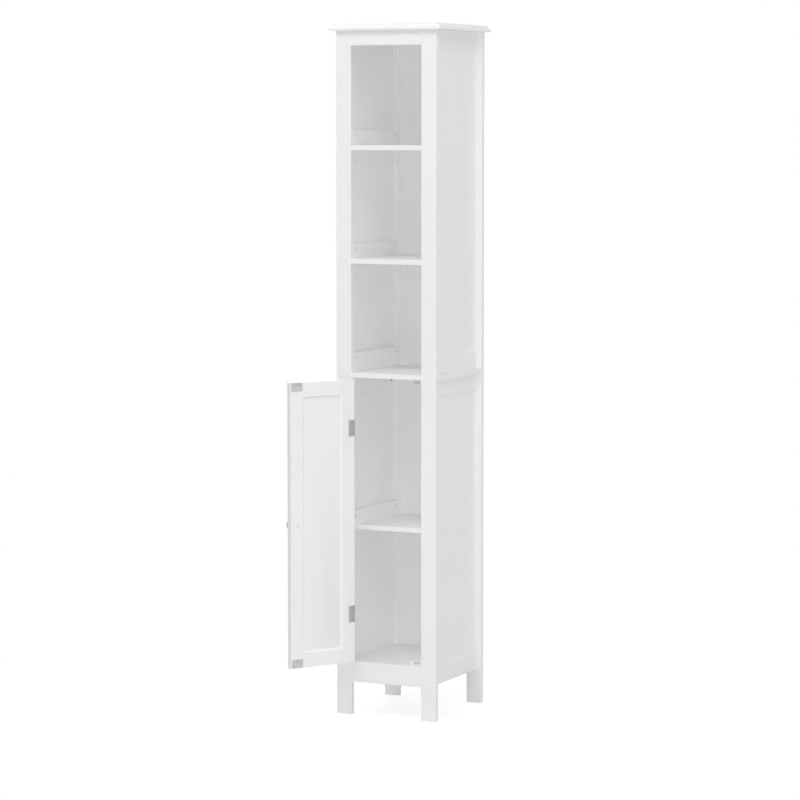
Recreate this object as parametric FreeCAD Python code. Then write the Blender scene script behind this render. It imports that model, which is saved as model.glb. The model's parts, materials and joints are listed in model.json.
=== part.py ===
import FreeCAD, Part
import math
import os

# Tall two-part bathroom cabinet: an open shelf unit standing on a door unit with legs.
# Millimetres. +X is to the right, +Y to the back, +Z up.
# The origin is on the floor, at the centre of the rectangle around the four legs.
# The door is modelled closed and then turned to its open rest position.

V = FreeCAD.Vector
X = V(1, 0, 0)
Y = V(0, 1, 0)
Z = V(0, 0, 1)

# ---- Driving dimensions -------------------------------------------------------------

BODY_W = 270.0            # over the outer faces of the posts
BODY_D = 285.0            # from the front faces to the back faces of the posts
LOWER_TOP = 837.0         # where the upper unit stands on the lower one
UPPER_TOP = 1685.0        # underside of the top board

FRAME_T = 15.0            # posts, front rails, cleats and door frame
SHELF_T = 12.0            # shelves, divider and bottom board
BACK_T = 3.0              # back panels
EASE = 0.8                # eased corner of every painted board

POST_W = 40.0
SIDE_INSET = 13.0         # outer faces of the posts to the outer faces of the side rails
SIDE_RAIL_T = 12.0
SIDE_RAIL_H = 48.0
SIDE_PANEL_RECESS = 3.0   # how far the side panel lies behind its rails
PANEL_TONGUE = 6.0        # depth of a panel's tongue in its groove
PANEL_TONGUE_T = 4.0
TONGUE_CLEARANCE = 0.5    # left at the bottom of a groove
BEVEL_W = 5.0             # width of the bevel round the door's recessed panel
SIDE_BEVEL_W = 8.0        # width of the softer bevel along a side panel

APRON_FOOT = 82.0         # underside of the lower front rail above the floor
BOTTOM_TOP = 133.0        # top face of the bottom board
UPPER_RAIL_H = 37.0
SHELF_TOP_Z = 1394.0      # underside of the highest shelf
SHELF_MIDDLE_Z = 1117.0
LOWER_SHELF_Z = 456.5
LOWER_SHELF_SETBACK = 40.0
DIVIDER_SIDE_INSET = 1.0  # the divider's side edges lie this far inside the posts

TOP_T = 15.0
TOP_SIDE_OVERHANG = 15.0
TOP_FRONT_OVERHANG = 10.0
TOP_BACK_OVERHANG = 5.0
TOP_STEP = 7.5            # how far the moulded edge steps in from bottom to top
TOP_LIP = 4.5             # upright lower band of the moulded edge
TOP_FILLET_BAND = 2.0     # upright upper band of the moulded edge

REBATE_W = 8.0            # lap of a back panel over each rear post

DOOR_GAP_HINGE = 2.4
DOOR_GAP_FREE = 1.6
DOOR_GAP_TOP = 2.0
DOOR_GAP_BOTTOM = 2.0
DOOR_FRAME_W = 41.0
DOOR_PANEL_RECESS = 4.0
DOOR_OPEN_ANGLE = 120.0   # rest position, measured from closed

HINGE_H = 41.0
HINGE_INSET = 120.0       # hinge centre from the door's top and bottom edges
HINGE_LEAF_T = 1.0
HINGE_WRAP_W = 18.0       # part of the door leaf that lies on the inner face
HINGE_PIN_R = 1.5
HINGE_BARREL_R = 3.2
HINGE_RUNNING_GAP = 0.05  # radial, between the pin and the turning knuckle
HINGE_KNUCKLE_GAP = 0.4   # between neighbouring knuckles
BARREL_STANDOFF = 0.4     # between the barrel and the front plane
LEAF_SCREW_PITCH = 26.0

KNOB_R = 12.5
KNOB_PROJECTION = 24.0
KNOB_FOOT_R = 7.0
KNOB_STEM_R = 5.0
KNOB_NECK_Z = 11.0        # the stem's thinnest place, from the door
KNOB_RIM_Z = 17.0         # the head's widest place
KNOB_CROWN_R = 2.5        # small flat at the middle of the dome
KNOB_SCREW_R = 2.0
KNOB_SCREW_DEPTH = 9.0    # how far the screw reaches into the knob
KNOB_SCREW_HEAD_R = 3.2
KNOB_SCREW_HEAD_H = 1.6

STRIKE_W = 31.0
STRIKE_H = 20.5
STRIKE_T = 1.0
STRIKE_SIDE_INSET = 2.6   # from the door's free edge
STRIKE_END_INSET = 1.2    # from the door's top or bottom edge
STRIKE_SCREW_DROP = 5.0   # from the upper edge of a strike plate to its screw
CATCH_L = 38.0
CATCH_D = 14.0
CATCH_H = 12.0
CATCH_GAP = 0.4           # between the strike plate and the closed catch
MAGNET_L = 18.0
MAGNET_H = 7.0
MAGNET_D = 9.0

FLUTES = 6                # sides of dowels, bolts and screws
CAM_SIDES = 8             # sides of cam nuts and of the spare shelf holes
DOWEL_R = 3.0
DOWEL_IN_BOARD = 18.0     # share of a small dowel in the end of a board
DOWEL_IN_FACE = 10.0      # share of it in the face that the board meets
DOWEL_END_INSET = 45.0    # from a shelf's front and back edges
POST_DOWEL_R = 4.0
POST_DOWEL_DOWN = 21.0
POST_DOWEL_UP = 11.0
CAM_R = 5.0
CAM_DEPTH = 9.0
CAM_INSET = 12.0          # cam centre from the end of its rail
CAM_BOLT_R = 2.5
CAM_BOLT_IN_POST = 10.0
SCREW_R = 1.9
SCREW_HEAD_R = 3.8
SCREW_HEAD_H = 2.2
CLEAT_SCREW_L = 21.0
CLEAT_SCREW_INSET = 10.0  # from the ends of a cleat
CLEAT_SCREW_Z = 36.0      # above the underside of a cleat
SMALL_SCREW_L = 11.0
SPARE_HOLE_R = 2.5        # blind holes for moving the shelves
SPARE_HOLE_DEPTH = 6.0
SPARE_HOLE_DROP = 31.0    # below the underside of a shelf
SPARE_HOLE_SETBACK = 58.0 # from the front faces of the posts, on the side panels
SPARE_HOLE_INSET = 4.5    # from the inner edge of a rear post

# ---- Levels and planes that follow from them ----------------------------------------

LEFT = -BODY_W / 2
RIGHT = BODY_W / 2
FRONT = -BODY_D / 2
REAR = BODY_D / 2
POST_BACK = FRONT + FRAME_T           # back faces of the front posts
REAR_POST_FRONT = REAR - FRAME_T
BACK_FACE = REAR - BACK_T             # front faces of the back panels

WALL = SIDE_INSET + SIDE_RAIL_T       # inner faces of the sides, from the posts' outer faces
PANEL_FACE = SIDE_INSET + SIDE_PANEL_RECESS
OPENING_W = BODY_W - 2 * POST_W

BOTTOM_Z = BOTTOM_TOP - SHELF_T
DIVIDER_TOP = LOWER_TOP + SHELF_T
SIDE_FOOT = BOTTOM_TOP - SIDE_RAIL_H
TOTAL_H = UPPER_TOP + TOP_T

PIN_X = LEFT + POST_W + DOOR_GAP_HINGE / 2
PIN_Y = FRONT - HINGE_BARREL_R - BARREL_STANDOFF
DOOR_LEFT = LEFT + POST_W + DOOR_GAP_HINGE
DOOR_RIGHT = RIGHT - POST_W - DOOR_GAP_FREE
DOOR_BOTTOM = BOTTOM_TOP + DOOR_GAP_BOTTOM
DOOR_TOP = LOWER_TOP - DOOR_GAP_TOP
DOOR_BACK = FRONT + FRAME_T
DOOR_MIDDLE = (DOOR_BOTTOM + DOOR_TOP) / 2

SIDES = ("left", "right")
ROWS = ("front", "rear")

os.makedirs("parts", exist_ok=True)


# ---- Helpers ------------------------------------------------------------------------

def block(x0, x1, y0, y1, z0, z1):
    return Part.makeBox(x1 - x0, y1 - y0, z1 - z0, V(x0, y0, z0))


def board(x0, x1, y0, y1, z0, z1):
    """A painted board: a block whose twelve edges are eased."""
    solid = block(x0, x1, y0, y1, z0, z1)
    return solid.makeChamfer(EASE, solid.Edges)


def span(side, a0, a1):
    """X range between two distances measured inwards from a side's outer post faces."""
    if side == "left":
        return LEFT + a0, LEFT + a1
    return RIGHT - a1, RIGHT - a0


def at(side, a):
    return span(side, a, a)[0]


def inward(side):
    return X if side == "left" else -X


def rod(base, direction, length, radius):
    return Part.makeCylinder(radius, length, base, direction)


def polygon(centre, normal, radius, sides):
    """A closed regular polygon square to the normal."""
    u = X if abs(normal.z) > 0.5 else Z
    v = normal.cross(u)
    corners = []
    for i in range(sides):
        angle = 2 * math.pi * (i + 0.5) / sides
        corners.append(centre + (u * math.cos(angle) + v * math.sin(angle)) * radius)
    return Part.makePolygon(corners + corners[:1])


def prism(base, direction, length, radius, sides):
    """A many-sided rod, for the fittings that are hidden in the joints."""
    return Part.Face(polygon(base, direction, radius, sides)).extrude(direction * length)


def dowel(joint, into_board, back, fore, radius):
    """A fluted dowel through the joint plane: 'fore' of it lies in the board, 'back' behind it."""
    return prism(joint - into_board * back, into_board, back + fore, radius, FLUTES)


def screw(head, direction, length):
    """A countersunk screw whose head lies flush at the point 'head'."""
    mouth = polygon(head, direction, SCREW_HEAD_R, FLUTES)
    neck = polygon(head + direction * SCREW_HEAD_H, direction, SCREW_R, FLUTES)
    cone = Part.makeLoft([mouth, neck], True, True)
    shank = prism(head + direction * SCREW_HEAD_H, direction, length - SCREW_HEAD_H, SCREW_R, FLUTES)
    return cone.fuse(shank).removeSplitter()


def without(solid, tools):
    """The solid with the space of the tools taken out, where they reach it."""
    near = [tool for tool in tools if tool.BoundBox.intersect(solid.BoundBox)]
    return solid.cut(near) if near else solid


def frustum(width, height, depth, slope, centre, normal, up):
    """A four-sided tapering tool: 'width' by 'height' at its floor, wider by 'slope' at its mouth."""
    across = up.cross(normal)

    def ring(w, h, shift):
        corners = []
        for sx, sz in ((-1, -1), (1, -1), (1, 1), (-1, 1)):
            corners.append(centre + across * (sx * w / 2) + up * (sz * h / 2) + normal * shift)
        return Part.makePolygon(corners + corners[:1])

    floor = ring(width, height, 0)
    mouth = ring(width + 2 * slope, height + 2 * slope, depth)
    return Part.makeLoft([floor, mouth], True, True)


def save(name, solids):
    shape = solids[0] if len(solids) == 1 else Part.makeCompound(solids)
    shape.exportStep("parts/" + name + ".step")


# ---- Fasteners, made first so that every board is cut to hold them ------------------

UNITS = {
    "lower": (0.0, LOWER_TOP, SIDE_FOOT, LOWER_TOP - SIDE_RAIL_H),
    "upper": (LOWER_TOP, UPPER_TOP, DIVIDER_TOP, UPPER_TOP - SIDE_RAIL_H),
}                         # foot of the posts, their top, foot of the low and the high side rail

CLEATS = {
    "lower": (LOWER_SHELF_Z,),
    "upper": (DIVIDER_TOP, SHELF_MIDDLE_Z, SHELF_TOP_Z),
}

FRONT_RAILS = {
    "lower": (APRON_FOOT, BOTTOM_Z),
    "upper": (UPPER_TOP - UPPER_RAIL_H, UPPER_TOP),
}

ROW_JOINT = {"front": (POST_BACK, Y), "rear": (REAR_POST_FRONT, -Y)}
SPARE_HOLE_LEVELS = (SHELF_TOP_Z - SPARE_HOLE_DROP, SHELF_MIDDLE_Z - SPARE_HOLE_DROP)


def make_post_dowels():
    solids = []
    for side in SIDES:
        for y in (FRONT + FRAME_T / 2, REAR - FRAME_T / 2):
            for z in (LOWER_TOP, UPPER_TOP):
                joint = V(at(side, POST_W / 2), y, z)
                solids.append(dowel(joint, Z, POST_DOWEL_DOWN, POST_DOWEL_UP, POST_DOWEL_R))
    return solids


def make_board_dowels():
    solids = []
    shelves = ((SHELF_TOP_Z, FRONT), (SHELF_MIDDLE_Z, FRONT), (LOWER_SHELF_Z, FRONT + LOWER_SHELF_SETBACK))
    for side in SIDES:
        for z, front in shelves:
            for y in (front + DOWEL_END_INSET, BACK_FACE - DOWEL_END_INSET):
                joint = V(at(side, POST_W), y, z + SHELF_T / 2)
                solids.append(dowel(joint, inward(side), DOWEL_IN_FACE, DOWEL_IN_BOARD, DOWEL_R))
        for z in (BOTTOM_Z, LOWER_TOP):
            for y in (FRONT + FRAME_T / 2, (REAR_POST_FRONT + BACK_FACE) / 2):
                joint = V(at(side, POST_W), y, z + SHELF_T / 2)
                solids.append(dowel(joint, inward(side), DOWEL_IN_FACE, DOWEL_IN_BOARD, DOWEL_R))
        for z0, z1 in FRONT_RAILS.values():
            joint = V(at(side, POST_W), FRONT + FRAME_T / 2, (z0 + z1) / 2)
            solids.append(dowel(joint, inward(side), DOWEL_IN_FACE, DOWEL_IN_BOARD, DOWEL_R))
    return solids


def make_cams():
    nuts = []
    bolts = []
    for foot, top, low_rail, high_rail in UNITS.values():
        for side in SIDES:
            for z in (low_rail + SIDE_RAIL_H / 2, high_rail + SIDE_RAIL_H / 2):
                for row in ROWS:
                    y, into_rail = ROW_JOINT[row]
                    joint = V(at(side, SIDE_INSET + SIDE_RAIL_T / 2), y, z)
                    centre = V(at(side, WALL), y, z) + into_rail * CAM_INSET
                    nuts.append(prism(centre, -inward(side), CAM_DEPTH, CAM_R, CAM_SIDES))
                    bolt = dowel(joint, into_rail, CAM_BOLT_IN_POST, CAM_INSET, CAM_BOLT_R)
                    bolts.append(bolt.cut(nuts[-1]))
    return nuts, bolts


def make_cleat_screws():
    solids = []
    for side in SIDES:
        for feet in CLEATS.values():
            for foot in feet:
                for row in ROWS:
                    y, into_rail = ROW_JOINT[row]
                    head = V(at(side, POST_W), y, foot + CLEAT_SCREW_Z) + into_rail * CLEAT_SCREW_INSET
                    solids.append(screw(head, -inward(side), CLEAT_SCREW_L))
    return solids


post_dowels = make_post_dowels()
board_dowels = make_board_dowels()
cam_nuts, cam_bolts = make_cams()
cleat_screws = make_cleat_screws()
CARCASS_FASTENERS = post_dowels + board_dowels + cam_nuts + cam_bolts + cleat_screws


# ---- Hinges -------------------------------------------------------------------------

HINGE_CENTRES = {"upper": DOOR_TOP - HINGE_INSET, "lower": DOOR_BOTTOM + HINGE_INSET}
KNUCKLE_H = HINGE_H / 3
PIN_AXIS = V(PIN_X, PIN_Y, 0)


def knuckle(z0, z1, bore):
    barrel = rod(PIN_AXIS + Z * z0, Z, z1 - z0, HINGE_BARREL_R)
    return barrel.cut(rod(PIN_AXIS + Z * z0, Z, z1 - z0, bore))


def leaf_plate(x0, x1, y1, z0, z1, bore):
    """A flat leaf from the knuckle's wall to y1, clear of the bore."""
    plate = block(x0, x1, PIN_Y + bore, y1, z0, z1)
    return plate.cut(rod(PIN_AXIS + Z * z0, Z, z1 - z0, bore))


def frame_leaf(centre):
    """The leaf on the post: two outer knuckles and a plate notched for the middle one."""
    z0 = centre - HINGE_H / 2
    z1 = centre + HINGE_H / 2
    m0 = centre - KNUCKLE_H / 2
    m1 = centre + KNUCKLE_H / 2
    x0 = LEFT + POST_W
    x1 = x0 + HINGE_LEAF_T
    leaf = leaf_plate(x0, x1, DOOR_BACK - EASE, z0, z1, HINGE_PIN_R)
    leaf = leaf.cut(block(x0, x1, PIN_Y, FRONT + HINGE_KNUCKLE_GAP, m0, m1))
    leaf = leaf.fuse([knuckle(z0, m0, HINGE_PIN_R), knuckle(m1, z1, HINGE_PIN_R)])
    return leaf.removeSplitter()


def door_leaf(centre):
    """The leaf on the door: it runs along the edge and wraps onto the inner face."""
    z0 = centre - HINGE_H / 2
    z1 = centre + HINGE_H / 2
    m0 = centre - KNUCKLE_H / 2 + HINGE_KNUCKLE_GAP
    m1 = centre + KNUCKLE_H / 2 - HINGE_KNUCKLE_GAP
    x0 = DOOR_LEFT - HINGE_LEAF_T
    y1 = DOOR_BACK + HINGE_LEAF_T
    bore = HINGE_PIN_R + HINGE_RUNNING_GAP
    leaf = leaf_plate(x0, DOOR_LEFT, y1, m0, m1, bore)
    edge_plate = block(x0, DOOR_LEFT, FRONT + HINGE_KNUCKLE_GAP, y1, z0, z1)
    wrap = block(x0, DOOR_LEFT + HINGE_WRAP_W, DOOR_BACK, y1, z0, z1)
    leaf = leaf.fuse([edge_plate, wrap, knuckle(m0, m1, bore)]).removeSplitter()
    bend = [e for e in leaf.Edges if abs(e.CenterOfMass.x - x0) < 1e-6 and abs(e.CenterOfMass.y - y1) < 1e-6]
    return leaf.makeFillet(HINGE_LEAF_T * 0.9, bend)


def hinge_pin(centre):
    return rod(PIN_AXIS + Z * (centre - HINGE_H / 2), Z, HINGE_H, HINGE_PIN_R)


def leaf_screws(x, y, direction):
    """Two screws to each hinge, through the leaf at x, y."""
    solids = []
    for centre in HINGE_CENTRES.values():
        for z in (centre - LEAF_SCREW_PITCH / 2, centre + LEAF_SCREW_PITCH / 2):
            solids.append(screw(V(x, y, z), direction, SMALL_SCREW_L))
    return solids


frame_leaf_screws = leaf_screws(LEFT + POST_W + HINGE_LEAF_T, FRONT + FRAME_T / 2, -X)
door_leaf_screws = leaf_screws(DOOR_LEFT + HINGE_WRAP_W * 0.6, DOOR_BACK + HINGE_LEAF_T, -Y)


# ---- Magnetic catches ---------------------------------------------------------------

CATCH_RIGHT = RIGHT - POST_W
CATCH_FRONT = DOOR_BACK + STRIKE_T + CATCH_GAP
CATCH_SCREW_INSET = 5.0


def catch_levels(place):
    """Low and high face of a catch, and the direction that its screws point in."""
    if place == "top":
        return LOWER_TOP - CATCH_H, LOWER_TOP, Z
    return BOTTOM_TOP, BOTTOM_TOP + CATCH_H, -Z


def magnet_block(place):
    z0, z1, _ = catch_levels(place)
    x0 = CATCH_RIGHT - (CATCH_L + MAGNET_L) / 2
    middle = (z0 + z1) / 2
    return block(x0, x0 + MAGNET_L, CATCH_FRONT, CATCH_FRONT + MAGNET_D,
                 middle - MAGNET_H / 2, middle + MAGNET_H / 2)


def catch_screws_at(place):
    z0, z1, into = catch_levels(place)
    start = z0 if into == Z else z1
    solids = []
    for x in (CATCH_RIGHT - CATCH_L + CATCH_SCREW_INSET, CATCH_RIGHT - CATCH_SCREW_INSET):
        head = V(x, CATCH_FRONT + CATCH_D / 2, start)
        solids.append(screw(head, into, CATCH_H + SHELF_T * 0.7))
    return solids


def catch_housing(place):
    z0, z1, _ = catch_levels(place)
    body = block(CATCH_RIGHT - CATCH_L, CATCH_RIGHT, CATCH_FRONT, CATCH_FRONT + CATCH_D, z0, z1)
    upright = [e for e in body.Edges if e.tangentAt(e.FirstParameter).cross(Z).Length < 1e-6]
    body = body.makeFillet(2.0, upright)
    return without(body, [magnet_block(place)] + catch_screws_at(place))


catch_screws = catch_screws_at("top") + catch_screws_at("bottom")


# ---- Carcass ------------------------------------------------------------------------

def make_post(unit, row, side):
    foot, top, _, _ = UNITS[unit]
    x0, x1 = span(side, 0, POST_W)
    y0, y1 = (FRONT, POST_BACK) if row == "front" else (REAR_POST_FRONT, REAR)
    post = board(x0, x1, y0, y1, foot, top)
    tools = CARCASS_FASTENERS + frame_leaf_screws
    if row == "rear":
        tools = tools + [back_panel_space(unit)] + post_holes(side)
    return without(post, tools)


def post_holes(side):
    """Blind holes in the front face of an upper rear post, for the shelves' other height."""
    mouths = [V(at(side, POST_W - SPARE_HOLE_INSET), REAR_POST_FRONT, z) for z in SPARE_HOLE_LEVELS]
    return [prism(mouth, Y, SPARE_HOLE_DEPTH, SPARE_HOLE_R, CAM_SIDES) for mouth in mouths]


def wall_holes(side):
    """The same holes in the inner face of an upper side panel."""
    mouths = [V(at(side, WALL), FRONT + SPARE_HOLE_SETBACK, z) for z in SPARE_HOLE_LEVELS]
    return [prism(mouth, -inward(side), SPARE_HOLE_DEPTH, SPARE_HOLE_R, CAM_SIDES) for mouth in mouths]


def back_panel_space(unit):
    """The space of a back panel, lapped into the rebates of the rear posts."""
    foot, top, _, _ = UNITS[unit]
    z0 = SIDE_FOOT if unit == "lower" else foot
    return block(LEFT + POST_W - REBATE_W, RIGHT - POST_W + REBATE_W, BACK_FACE, REAR, z0, top)


def make_side_rail(side, foot, groove_up):
    """A side rail between the posts, grooved for the panel and bevelled down to it."""
    x0, x1 = span(side, SIDE_INSET, WALL)
    rail = board(x0, x1, POST_BACK, REAR_POST_FRONT, foot, foot + SIDE_RAIL_H)
    edge = foot + SIDE_RAIL_H if groove_up else foot
    bevel = recess_tool(side, edge, groove_up)
    g0, g1 = tongue_span(side)
    depth = PANEL_TONGUE + TONGUE_CLEARANCE
    z0, z1 = (edge - depth, edge) if groove_up else (edge, edge + depth)
    groove = block(g0, g1, POST_BACK, REAR_POST_FRONT, z0, z1)
    return without(rail, [bevel, groove] + CARCASS_FASTENERS)


def recess_tool(side, edge, groove_up):
    """The wedge that bevels a rail's outer face down to the recessed panel."""
    outer = at(side, SIDE_INSET)
    floor = at(side, PANEL_FACE)
    far = edge - SIDE_BEVEL_W if groove_up else edge + SIDE_BEVEL_W
    points = [V(outer, POST_BACK, edge), V(floor, POST_BACK, edge), V(outer, POST_BACK, far)]
    face = Part.Face(Part.makePolygon(points + points[:1]))
    return face.extrude(Y * (REAR_POST_FRONT - POST_BACK))


def tongue_span(side):
    middle = (PANEL_FACE + WALL) / 2
    return span(side, middle - PANEL_TONGUE_T / 2, middle + PANEL_TONGUE_T / 2)


def make_side_panel(unit, side):
    """The thin side panel between the rails, with a tongue along its top and bottom."""
    _, _, low_rail, high_rail = UNITS[unit]
    x0, x1 = span(side, PANEL_FACE, WALL)
    z0 = low_rail + SIDE_RAIL_H
    panel = block(x0, x1, POST_BACK, REAR_POST_FRONT, z0, high_rail)
    g0, g1 = tongue_span(side)
    tongue = block(g0, g1, POST_BACK, REAR_POST_FRONT, z0 - PANEL_TONGUE, high_rail + PANEL_TONGUE)
    return without(panel.fuse(tongue).removeSplitter(), CARCASS_FASTENERS + wall_holes(side))


def make_cleat(side, foot):
    x0, x1 = span(side, WALL, POST_W)
    cleat = board(x0, x1, POST_BACK, REAR_POST_FRONT, foot, foot + SIDE_RAIL_H)
    return without(cleat, CARCASS_FASTENERS)


def make_front_rail(unit):
    z0, z1 = FRONT_RAILS[unit]
    rail = board(LEFT + POST_W, RIGHT - POST_W, FRONT, POST_BACK, z0, z1)
    return without(rail, CARCASS_FASTENERS)


def make_shelf(z0, front):
    shelf = board(LEFT + POST_W, RIGHT - POST_W, front, BACK_FACE, z0, z0 + SHELF_T)
    return without(shelf, CARCASS_FASTENERS)


def make_wide_board(z0, a):
    """A board that fills the depth between the posts and reaches forward and back between them."""
    slab = block(LEFT + a, RIGHT - a, POST_BACK, REAR_POST_FRONT, z0, z0 + SHELF_T)
    tongue = block(LEFT + POST_W, RIGHT - POST_W, FRONT, BACK_FACE, z0, z0 + SHELF_T)
    solid = slab.fuse(tongue).removeSplitter()
    front_edges = [e for e in solid.Edges if abs(e.BoundBox.YMax - FRONT) < 1e-6]
    solid = solid.makeChamfer(EASE, front_edges)
    return without(solid, CARCASS_FASTENERS + catch_screws)


def make_top_board():
    """The top board: an ogee moulding round the front and sides, square at the back."""
    r = (TOP_T - TOP_LIP - TOP_FILLET_BAND) / 2
    half = TOP_STEP / 2
    x0 = LEFT - TOP_SIDE_OVERHANG
    x1 = RIGHT + TOP_SIDE_OVERHANG
    y0 = FRONT - TOP_FRONT_OVERHANG
    y1 = REAR + TOP_BACK_OVERHANG
    slab = block(x0, x1, y0, y1, UPPER_TOP, TOTAL_H)

    # The moulding's section: 's' is the distance inwards, 'z' the height above the lip.
    def section(point):
        lip = UPPER_TOP + TOP_LIP
        middle = point(half, lip + r)
        convex = Part.Arc(point(0, lip), point(half * 0.3, lip + r * 0.75), middle)
        concave = Part.Arc(middle, point(half * 1.7, lip + r * 1.25), point(TOP_STEP, lip + 2 * r))
        edges = [
            convex.toShape(),
            concave.toShape(),
            Part.makeLine(point(TOP_STEP, lip + 2 * r), point(TOP_STEP, TOTAL_H + 1)),
            Part.makeLine(point(TOP_STEP, TOTAL_H + 1), point(-1, TOTAL_H + 1)),
            Part.makeLine(point(-1, TOTAL_H + 1), point(-1, lip)),
            Part.makeLine(point(-1, lip), point(0, lip)),
        ]
        return Part.Face(Part.Wire(edges))

    front = section(lambda s, z: V(x0 - 1, y0 + s, z)).extrude(X * (x1 - x0 + 2))
    left = section(lambda s, z: V(x0 + s, y0 - 1, z)).extrude(Y * (y1 - y0 + 2))
    right = section(lambda s, z: V(x1 - s, y0 - 1, z)).extrude(Y * (y1 - y0 + 2))
    moulded = slab.cut([front, left, right])
    foot_edges = [e for e in moulded.Edges if abs(e.BoundBox.ZMax - UPPER_TOP) < 1e-6]
    moulded = moulded.makeFillet(EASE * 1.5, foot_edges)
    return without(moulded, CARCASS_FASTENERS)


for unit in UNITS:
    for row in ROWS:
        for side in SIDES:
            save(f"{unit}_post_{row}_{side}", [make_post(unit, row, side)])
    low_rail, high_rail = UNITS[unit][2:]
    for side in SIDES:
        save(f"{unit}_side_rail_bottom_{side}", [make_side_rail(side, low_rail, True)])
        save(f"{unit}_side_rail_top_{side}", [make_side_rail(side, high_rail, False)])
        save(f"{unit}_side_panel_{side}", [make_side_panel(unit, side)])
        save(f"{unit}_cleats_{side}", [make_cleat(side, foot) for foot in CLEATS[unit]])
    save(f"{unit}_front_rail", [make_front_rail(unit)])
    save(f"{unit}_back_panel", [back_panel_space(unit)])

save("bottom_board", [make_wide_board(BOTTOM_Z, WALL)])
save("divider_board", [make_wide_board(LOWER_TOP, DIVIDER_SIDE_INSET)])
save("shelf_top", [make_shelf(SHELF_TOP_Z, FRONT)])
save("shelf_middle", [make_shelf(SHELF_MIDDLE_Z, FRONT)])
save("shelf_lower", [make_shelf(LOWER_SHELF_Z, FRONT + LOWER_SHELF_SETBACK)])
save("top_board", [make_top_board()])
save("post_dowels", post_dowels)
save("board_dowels", board_dowels)
save("cam_nuts", cam_nuts)
save("cam_bolts", cam_bolts)
save("cleat_screws", cleat_screws)

for place in ("top", "bottom"):
    save(f"{place}_catch_housing", [catch_housing(place)])
save("catch_magnets", [magnet_block("top"), magnet_block("bottom")])
save("catch_screws", catch_screws)

for name, centre in HINGE_CENTRES.items():
    save(f"{name}_hinge_frame_leaf", [without(frame_leaf(centre), frame_leaf_screws)])
save("hinge_pins", [hinge_pin(centre) for centre in HINGE_CENTRES.values()])
save("hinge_screws_frame", frame_leaf_screws)


# ---- Door, modelled closed and turned about the hinge pins --------------------------

PANEL_LEFT = DOOR_LEFT + DOOR_FRAME_W
PANEL_RIGHT = DOOR_RIGHT - DOOR_FRAME_W
PANEL_BOTTOM = DOOR_BOTTOM + DOOR_FRAME_W
PANEL_TOP = DOOR_TOP - DOOR_FRAME_W
DOOR_MID_Y = FRONT + FRAME_T / 2
KNOB_X = DOOR_RIGHT - DOOR_FRAME_W / 2
STRIKE_X = DOOR_RIGHT - STRIKE_SIDE_INSET - STRIKE_W / 2


def door_bevels():
    """Two tapering tools that bevel the frame down to the panel, one to each face."""
    width = PANEL_RIGHT - PANEL_LEFT
    height = PANEL_TOP - PANEL_BOTTOM
    middle = V((PANEL_LEFT + PANEL_RIGHT) / 2, 0, (PANEL_BOTTOM + PANEL_TOP) / 2)
    tools = []
    for y, normal in ((FRONT + DOOR_PANEL_RECESS, -Y), (DOOR_BACK - DOOR_PANEL_RECESS, Y)):
        centre = V(middle.x, y, middle.z)
        tools.append(frustum(width, height, DOOR_PANEL_RECESS, BEVEL_W, centre, normal, Z))
    return tools


def door_panel_space(clearance):
    """The panel with its tongue; the grooves are the same shape with clearance at the bottom."""
    reach = PANEL_TONGUE + clearance
    t0 = DOOR_MID_Y - PANEL_TONGUE_T / 2
    t1 = DOOR_MID_Y + PANEL_TONGUE_T / 2
    field = block(PANEL_LEFT, PANEL_RIGHT, FRONT + DOOR_PANEL_RECESS, DOOR_BACK - DOOR_PANEL_RECESS,
                  PANEL_BOTTOM, PANEL_TOP)
    tongue = block(PANEL_LEFT - reach, PANEL_RIGHT + reach, t0, t1, PANEL_BOTTOM - reach, PANEL_TOP + reach)
    return field.fuse(tongue).removeSplitter()


def rail_tenons(z0, z1):
    """The stub tenons at both ends of a door rail, as one bar through it."""
    t0 = DOOR_MID_Y - PANEL_TONGUE_T / 2
    t1 = DOOR_MID_Y + PANEL_TONGUE_T / 2
    z0 += PANEL_TONGUE
    z1 -= PANEL_TONGUE
    return block(PANEL_LEFT - PANEL_TONGUE, PANEL_RIGHT + PANEL_TONGUE, t0, t1, z0, z1)


def knob():
    """A turned knob, drilled for its screw: a foot, a tapered stem and a domed head."""

    def point(r, z):
        return V(r, 0, z)

    foot = point(KNOB_FOOT_R, 0)
    neck = point(KNOB_STEM_R, KNOB_NECK_Z)
    rim = point(KNOB_R, KNOB_RIM_Z)
    crown = point(KNOB_CROWN_R, KNOB_PROJECTION)
    head_mouth = point(KNOB_SCREW_R, 0)
    head_floor = point(KNOB_SCREW_R, KNOB_SCREW_DEPTH)
    under = point((KNOB_STEM_R + KNOB_R) / 2 + 1.0, (KNOB_NECK_Z + KNOB_RIM_Z) / 2 - 0.6)
    dome = point(KNOB_R * 0.72, KNOB_RIM_Z + (KNOB_PROJECTION - KNOB_RIM_Z) * 0.68)
    outline = [
        Part.makeLine(head_mouth, foot),
        Part.makeLine(foot, neck),
        Part.Arc(neck, under, rim).toShape(),
        Part.Arc(rim, dome, crown).toShape(),
        Part.makeLine(crown, point(0, KNOB_PROJECTION)),
        Part.makeLine(point(0, KNOB_PROJECTION), point(0, KNOB_SCREW_DEPTH)),
        Part.makeLine(point(0, KNOB_SCREW_DEPTH), head_floor),
        Part.makeLine(head_floor, head_mouth),
    ]
    solid = Part.Face(Part.Wire(outline)).revolve(V(0, 0, 0), Z, 360)
    solid.rotate(V(0, 0, 0), X, 90)
    solid.translate(V(KNOB_X, FRONT, DOOR_MIDDLE))
    return solid


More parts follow.
